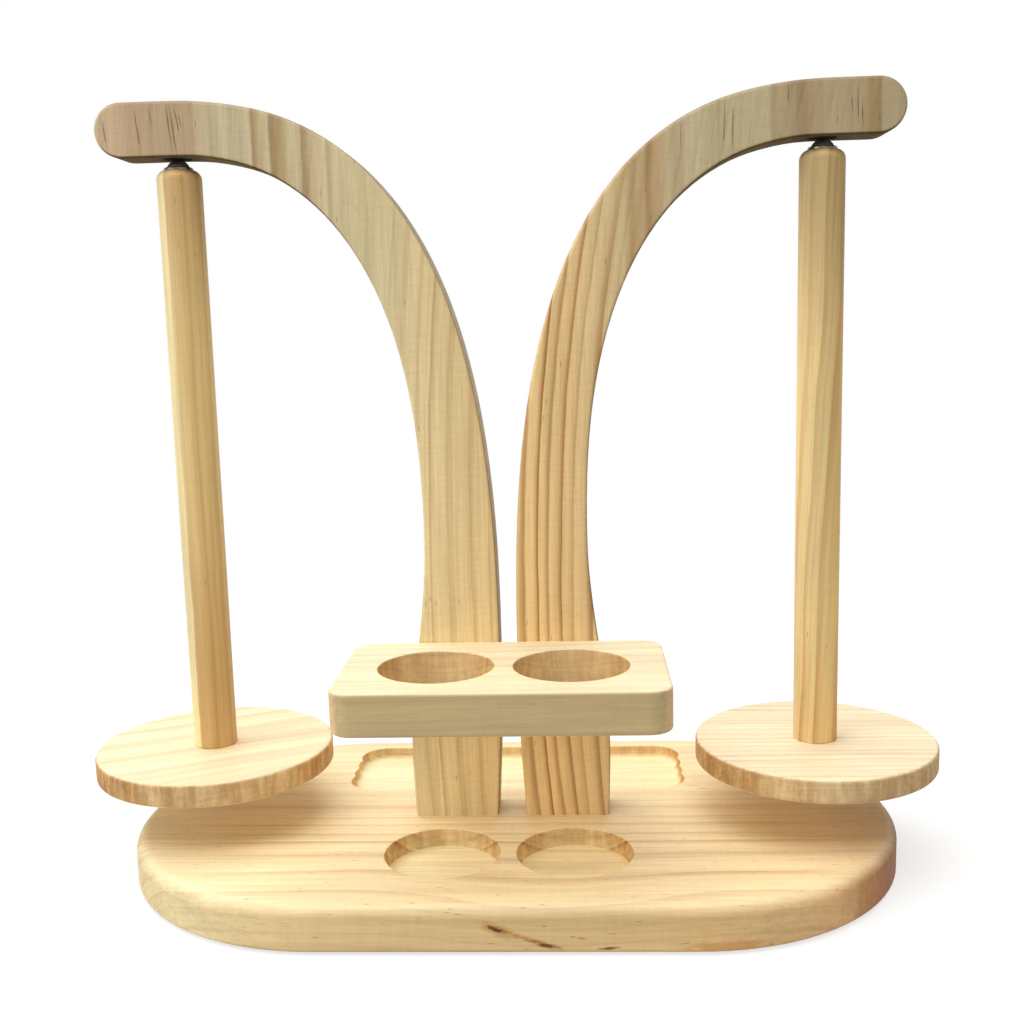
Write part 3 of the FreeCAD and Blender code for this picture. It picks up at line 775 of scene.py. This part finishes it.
dress("cup_rack", board_material(
    "rack_pine", turn=(0, 90, 2), pith=(70, -95), ring_width=3.6, wander=10.0,
    early=srgb(245, 227, 189), late=srgb(208, 174, 120), contrast=0.5, pores=0.15,
    end_stain=0.2, thin=2.2, stain=hole_stain, tint=rack_tint))

# %% [markdown]
# ## Arms
#
# Each arm is a curve sawn out of a flat panel that was glued up from staves, with the grain
# upright. So the stripes don't follow the curve: they stand upright at the tip and along the
# stem alike. The growth rings of the right arm are strong. They bow outwards towards the top,
# which is a square of the height taken off the distance from the pith. The sawn top and the
# side to the right are painted darker than the planed face, as painted shade. A bent bar with
# a stripe along it would be easier to paint, but it would look like plastic.

# %% Arms: bow of the rings
BOW_FROM = 110
# painted shade on the upward faces and on the faces that point to the right
TOP_PAINTED_SHADE = (0.66, 0.62, 0.58, 1)
SIDE_PAINTED_SHADE = (0.48, 0.47, 0.40, 1)


def bowed(height, bow):
    """A function that shifts the rings sideways by the square of the height above a place."""
    def push(tree, place):
        z = put(tree, "SeparateXYZ", {"Vector": place}).outputs["Z"]
        above = calc(tree, "SUBTRACT", z, height)
        return calc(tree, "MULTIPLY", calc(tree, "MULTIPLY", above, above), bow)
    return push


def arm_tint(low, high, stops, marks):
    """Tones from stave to stave. The sawn top and the side to the right are painted darker
    than the planed face, as painted shade."""
    across = tones_across("X", low, high, stops, marks)

    def tint(tree, place):
        tones, share = across(tree, place)
        normal = tree.nodes.new("ShaderNodeTexCoord").outputs["Normal"]
        facing = put(tree, "SeparateXYZ", {"Vector": normal}).outputs
        on_top = fade(tree, facing["Z"], 0.15, 0.6)
        tones = mix_colour(tree, on_top, tones, TOP_PAINTED_SHADE, "MULTIPLY")
        on_side = fade(tree, facing["X"], 0.55, 0.90)
        return mix_colour(tree, on_side, tones, SIDE_PAINTED_SHADE, "MULTIPLY"), share
    return tint


print("arms bow from", BOW_FROM, "mm up")

# %% [markdown]
# ## Staves of the arms
#
# Towards the tips the panels are a patchwork of grey, brown and pale staves a few centimetres
# wide and less, each with a narrow dark line where it ends in summer wood. A row of random
# stripes would give the same kind of wood, but each arm here has its own known row, so the
# stops are written out. Fine cracks stand in the darkest staves near the tips.

# %% Arms: staves of the left one
# places to the left of the holder's middle are negative
left_tones = [
    (-165, (0.70, 0.66, 0.76, 0.1)), (-148, (0.69, 0.65, 0.74, 0.1)),
    (-144, (0.58, 0.52, 0.56, 0.1)), (-133, (0.62, 0.58, 0.65, 0.1)),
    (-126.5, (0.52, 0.49, 0.52, 0.1)), (-119.2, (0.58, 0.53, 0.59, 0.1)),
    (-117.4, (0.71, 0.73, 0.83, 0.1)), (-113.4, (0.76, 0.81, 0.91, 0.1)),
    (-111.8, (0.64, 0.67, 0.70, 0.1)), (-108, (0.83, 0.92, 1.03, 0.1)),
    (-105, (0.68, 0.74, 0.84, 0.1)), (-101, (0.70, 0.75, 0.84, 0.1)),
    (-96.6, (0.81, 0.90, 1.05, 0.2)), (-95.7, (0.46, 0.41, 0.35, 0.3)),
    (-92.5, (0.69, 0.69, 0.73, 0.3)), (-89.3, (0.76, 0.84, 0.97, 0.2)),
    (-88.5, (0.40, 0.34, 0.29, 0.3)), (-84, (0.60, 0.56, 0.53, 0.3)),
    (-80.5, (0.77, 0.84, 0.92, 0.2)), (-76.9, (0.76, 0.82, 0.90, 0.2)),
    (-76.0, (0.46, 0.38, 0.35, 0.3)), (-72.5, (0.74, 0.75, 0.79, 0.3)),
    (-67.3, (0.86, 0.92, 1.04, 0.3)), (-66.0, (0.62, 0.64, 0.67, 0.3)),
    (-64.4, (0.80, 0.87, 0.97, 0.3)), (-57, (0.90, 0.97, 1.06, 0.4)),
    (-52, (0.76, 0.81, 0.84, 0.4)), (-49, (0.92, 0.99, 1.08, 0.5)),
    (-30, (0.97, 0.99, 0.98, 0.9)), (-5, (1.00, 0.96, 0.89, 1.0)),
]
CRACK = (0.50, 0.42, 0.38)
FAINT_CRACK = (0.50, 0.46, 0.38)
ARM_SAW = (0.16, 0.03, 0.16)
left_marks = [
    ((-154.6, -7, 304), (0.45, 30, 6), -0.10, 0.9, CRACK),
    ((-141.3, -7, 305), (0.45, 30, 10), -0.10, 0.9, CRACK),
    ((-135.8, -7, 309.5), (0.35, 30, 4.5), -0.08, 0.9, CRACK),
    ((-128.6, -7, 306), (0.45, 30, 11), -0.07, 0.9, CRACK),
    ((-127.0, -7, 304.5), (0.45, 30, 12), -0.10, 0.9, CRACK),
    ((-125.3, -7, 308.5), (0.40, 30, 7), -0.15, 0.9, CRACK),
    ((-124.0, -7, 308), (0.30, 30, 4), -0.15, 0.9, CRACK),
]
dress("left_arm", board_material(
    "left_arm_pine", turn=(0, 0, 0), pith=(60, 30), ring_width=6.4, wander=6.0,
    early=srgb(246, 224, 174), late=srgb(196, 152, 96), contrast=0.6, pores=0.3,
    edge_stain=0.6, under_shade_and_dullness=1.0, washboard=0.2, jag=0.3, thin=2.2, face=(0, 1, 0),
    saw_marks=ARM_SAW, push=bowed(BOW_FROM, 0.0003),
    tint=arm_tint(-165, -5, left_tones, left_marks)))

# %% Arms: staves of the right one
right_tones = [
    (5, (1.03, 0.98, 0.86, 1.0)), (28, (1.02, 0.98, 0.90, 1.0)), (38, (1.00, 1.01, 1.02, 0.9)),
    (50, (0.89, 0.92, 0.94, 0.5)),
    (53, (0.62, 0.56, 0.50, 0.5)), (55, (0.70, 0.67, 0.67, 0.4)), (57.4, (0.70, 0.68, 0.69, 0.4)),
    (59.5, (0.47, 0.39, 0.33, 0.4)), (62, (0.63, 0.59, 0.55, 0.3)),
    (67.5, (0.72, 0.78, 0.87, 0.2)), (71.5, (0.60, 0.63, 0.68, 0.3)),
    (74, (0.69, 0.75, 0.91, 0.1)), (80, (0.74, 0.83, 0.97, 0.1)), (87, (0.60, 0.66, 0.72, 0.1)),
    (90, (0.70, 0.77, 0.86, 0.1)), (106.4, (0.67, 0.75, 0.87, 0.1)),
    (107.3, (0.47, 0.52, 0.56, 0.1)), (110, (0.58, 0.60, 0.64, 0.2)),
    (116, (0.52, 0.53, 0.57, 0.2)), (119, (0.50, 0.44, 0.45, 0.3)),
    (122, (0.54, 0.53, 0.57, 0.2)), (126, (0.51, 0.52, 0.58, 0.1)),
    (131, (0.57, 0.60, 0.68, 0.1)), (140, (0.54, 0.57, 0.63, 0.1)),
    (143, (0.51, 0.52, 0.52, 0.1)), (145, (0.44, 0.41, 0.36, 0.1)),
    (148.6, (0.39, 0.36, 0.31, 0.1)), (149.4, (0.53, 0.57, 0.64, 0.1)),
    (165, (0.54, 0.58, 0.68, 0.1)),
]
right_marks = [
    ((72.3, -7, 296), (0.35, 30, 6), 0.02, 0.9, (0.60, 0.52, 0.42)),
    ((89.0, -7, 300), (0.40, 30, 12), 0.02, 0.9, FAINT_CRACK),
    ((92.3, -7, 299), (0.40, 30, 11), 0.02, 0.9, FAINT_CRACK),
    ((113.4, -7, 311), (0.35, 30, 5), -0.02, 0.9, CRACK),
    ((137.8, -7, 306), (0.35, 30, 4), -0.03, 0.9, CRACK),
    ((140.1, -7, 304.5), (0.40, 30, 8), -0.03, 0.9, CRACK),
    ((141.8, -7, 302), (0.35, 30, 7), -0.05, 0.9, CRACK),
]
dress("right_arm", board_material(
    "right_arm_pine", turn=(0, 0, 0), pith=(-60, 25), ring_width=5.2, wander=4.0,
    early=srgb(246, 220, 168), late=srgb(172, 114, 50), contrast=1.0, pores=0.3,
    edge_stain=0.6, under_shade_and_dullness=1.0, washboard=0.2, jag=0.3, thin=1.25, face=(0, 1, 0),
    saw_marks=ARM_SAW, push=bowed(BOW_FROM, -0.0005),
    tint=arm_tint(5, 165, right_tones, right_marks)))

# %% [markdown]
# ## Discs
#
# A disc is cut from a flat board, so its rings run across its face in lines and its edge
# shows side grain and end grain by turns. The left disc's board was cut along a few wide
# rings, the right one's across many narrow ones. Since the wood is solid, one tint does for
# both: the edge is browner, and bars take the place of rings there.

# %% Discs
DISC_EDGE = (0.96, 0.91, 0.80, 1)


def disc_tint(tree, place):
    """Rings show on the face of a disc. Its edge is browner and shows bars of end grain."""
    normal = tree.nodes.new("ShaderNodeTexCoord").outputs["Normal"]
    flat = fade(tree, alignment(tree, normal, (0, 0, 1)), 0.3, 0.9)
    tone = mix_colour(tree, flat, DISC_EDGE, WHITE)
    return tone, calc(tree, "ADD", calc(tree, "MULTIPLY", flat, 0.75), 0.25)


dress("left_spindle_disc", board_material(
    "left_disc_pine", turn=(0, 90, 25), pith=(60, -40), ring_width=11.0, wander=18.0,
    early=srgb(247, 226, 187), late=srgb(224, 188, 138), contrast=0.6, pores=0.0,
    edge_stain=1.0, thin=0.9, tint=disc_tint))
dress("right_spindle_disc", board_material(
    "right_disc_pine", turn=(0, 90, -1), pith=(80, -95), ring_width=2.8, wander=8.0,
    early=srgb(248, 230, 194), late=srgb(206, 174, 124), contrast=0.6, pores=0.1, jag=0.7,
    edge_stain=0.9, thin=1.4, tint=disc_tint))

# %% [markdown]
# ## Rods
#
# A rod is turned or drawn from a straight-grained stick, so it shows long straight streaks.
# The left rod is pale sapwood down one side, with a clear border. The right one leans a
# little in its tree, so the Mapping node leans it too, and the rings run out at its side. Both
# are browner near their ends, and a gradient on the height gives that. The right rod is also
# painted darker down its right side, as painted shade.

# %% Rods
SAPWOOD = (1.04, 1.20, 1.36, 1)
HEARTWOOD = (0.97, 0.98, 0.91, 1)
LEFT_TOP = (0.75, 0.69, 0.61, 1)
LEFT_FOOT = (0.73, 0.63, 0.55, 1)
RIGHT_TOP = (0.64, 0.62, 0.60, 1)
# painted shade down the right side of the right rod
RIGHT_SIDE_SHADE = (0.97, 0.88, 0.68, 1)
RIGHT_FOOT = (0.94, 0.89, 0.85, 1)
RIGHT_LEAN = 3


def left_rod_tint(tree, place):
    """Pale sapwood down one side, and wood that gets browner towards both ends."""
    parts = put(tree, "SeparateXYZ", {"Vector": place}).outputs
    sway = noise_value(tree, stretched(tree, place, 0.05, 0.03, (6, 1, 3)), 3.0)
    aside = calc(tree, "ADD", parts["X"], calc(tree, "MULTIPLY", sway, 2.6))
    heart = fade(tree, aside, -131.6, -130.8)
    brown = mix_colour(tree, fade(tree, parts["Z"], 215, 285), HEARTWOOD, LEFT_TOP)
    brown = mix_colour(tree, fade(tree, parts["Z"], 190, 60), brown, LEFT_FOOT, "MULTIPLY")
    return mix_colour(tree, heart, SAPWOOD, brown), calc(tree, "ADD", 0.2, heart)


def right_rod_tint(tree, place):
    """Browner near the top and at the foot, and painted darker down its right side as painted
    shade.
    """
    parts = put(tree, "SeparateXYZ", {"Vector": place}).outputs
    tone = mix_colour(tree, fade(tree, parts["Z"], 205, 290), WHITE, RIGHT_TOP)
    lean = calc(tree, "MULTIPLY", parts["Z"], math.sin(math.radians(RIGHT_LEAN)))
    side = fade(tree, calc(tree, "ADD", parts["X"], lean), 129, 136)
    tone = mix_colour(tree, side, tone, RIGHT_SIDE_SHADE, "MULTIPLY")
    low = fade(tree, parts["Z"], 120, 55)
    tone = mix_colour(tree, low, tone, RIGHT_FOOT, "MULTIPLY")
    return tone, calc(tree, "ADD", calc(tree, "MULTIPLY", low, 0.3), 0.6)


dress("left_spindle_rod", board_material(
    "left_rod_pine", turn=(0, 0, 0), pith=(-165, -25), ring_width=7.0, wander=6.0,
    early=srgb(243, 214, 156), late=srgb(206, 160, 98), contrast=0.35, pores=0.25,
    thin=1.5, tint=left_rod_tint))
dress("right_spindle_rod", board_material(
    "right_rod_pine", turn=(-1, RIGHT_LEAN, 0), pith=(160, -20), ring_width=6.5, wander=22.0,
    early=srgb(250, 225, 165), late=srgb(200, 140, 74), contrast=0.8, pores=0.25, jag=0.4,
    tint=right_rod_tint))

# %% [markdown]
# ## Metal
#
# The ball, its cup and the magnet are small and bright, and what they show is the room. Steel
# is a metallic shader with a dark or light base colour. It isn't even: a little haze and fine
# scratches vary the roughness, and all metals here share one node group for that. The screws
# of the arms and the discs are seen only from below, those of the rack from behind.

# %% Metals
SCRATCH_DEPTH = 0.00002
SCRATCH_BUMP = 0.3

haze, given, result = new_group(
    "metal_haze",
    [("Place", "Vector", (0, 0, 0)), ("Bright", "Color", (0.6, 0.6, 0.6, 1)),
     ("Dull", "Color", (0.4, 0.4, 0.4, 1)), ("Smooth", "Float", 0.15),
     ("Rough", "Float", 0.35)],
    [("Color", "Color"), ("Roughness", "Float"), ("Height", "Float")])
cloud = noise_value(haze, vector_calc(haze, "MULTIPLY", given["Place"], (0.45, 0.45, 0.45)), 4.0)
cloud = fade(haze, cloud, 0.3, 0.7)
lines = noise_value(haze, vector_calc(haze, "MULTIPLY", given["Place"], (1.0, 1.0, 9.0)), 2.0)
haze.links.new(mix_colour(haze, cloud, given["Bright"], given["Dull"]), result.inputs["Color"])
spread = calc(haze, "MULTIPLY", calc(haze, "ADD", cloud, lines), 0.5)
rough = put(haze, "MapRange", {"Value": spread, "To Min": given["Smooth"],
                               "To Max": given["Rough"]}).outputs["Result"]
haze.links.new(rough, result.inputs["Roughness"])
haze.links.new(lines, result.inputs["Height"])


def metal_material(name, bright, dull, smooth, rough, rim=1.0):
    """A metal with haze. rim is how bright it gets where it is seen at a flat angle."""
    made, tree, shader = new_material(name)
    wear = put(tree, "Group", {"Place": board_place(tree, (0, 0, 0)), "Bright": bright,
                               "Dull": dull, "Smooth": smooth, "Rough": rough},
               node_tree=haze)
    bump = put(tree, "Bump", {"Height": wear.outputs["Height"], "Strength": SCRATCH_BUMP,
                              "Distance": SCRATCH_DEPTH})
    shader.inputs["Metallic"].default_value = 1.0
    shader.inputs["Specular Tint"].default_value = (rim, rim, rim, 1)
    tree.links.new(wear.outputs["Color"], shader.inputs["Base Color"])
    tree.links.new(wear.outputs["Roughness"], shader.inputs["Roughness"])
    tree.links.new(bump.outputs["Normal"], shader.inputs["Normal"])
    return made


ball_steel = metal_material("ball_steel", srgb(222, 220, 216), srgb(176, 173, 168), 0.24, 0.42)
cup_steel = metal_material("cup_steel", srgb(136, 134, 128), srgb(92, 90, 85), 0.22, 0.40)
nickel = metal_material("magnet_nickel", srgb(88, 86, 82), srgb(64, 62, 59), 0.45, 0.60, rim=0.1)
zinc = metal_material("screw_zinc", srgb(205, 205, 200), srgb(170, 172, 170), 0.22, 0.42)
for side in ("left", "right"):
    dress(side + "_ball", ball_steel)
    dress(side + "_ball_cup", cup_steel)
    dress(side + "_magnet", nickel)
    for kind in ("_arm_screws", "_rack_screws", "_disc_screw"):
        dress(side + kind, zinc)
print("metals done")

# %% [markdown]
# ## Rubber pads
#
# Four thin grey pads of rubber keep the board from sliding and from scratching the table. They
# are matt and a little gritty, so fine noise drives both their grey and a bump.

# %% Rubber pads
LIGHT_RUBBER = srgb(214, 212, 206)
DARK_RUBBER = srgb(190, 188, 182)
GRIT_DEPTH = 0.0001
GRIT_BUMP = 0.4

rubber, tree, shader = new_material("pad_rubber")
place = board_place(tree, (0, 0, 0))
grit = noise_value(tree, vector_calc(tree, "MULTIPLY", place, (2.5, 2.5, 2.5)), 3.0)
shade = ramp(tree, grit, [(0.3, LIGHT_RUBBER), (0.7, DARK_RUBBER)])["Color"]
tree.links.new(shade, shader.inputs["Base Color"])
bump = put(tree, "Bump", {"Height": grit, "Strength": GRIT_BUMP, "Distance": GRIT_DEPTH})
tree.links.new(bump.outputs["Normal"], shader.inputs["Normal"])
shader.inputs["Roughness"].default_value = 0.75
dress("base_pads", rubber)
print("pads done")
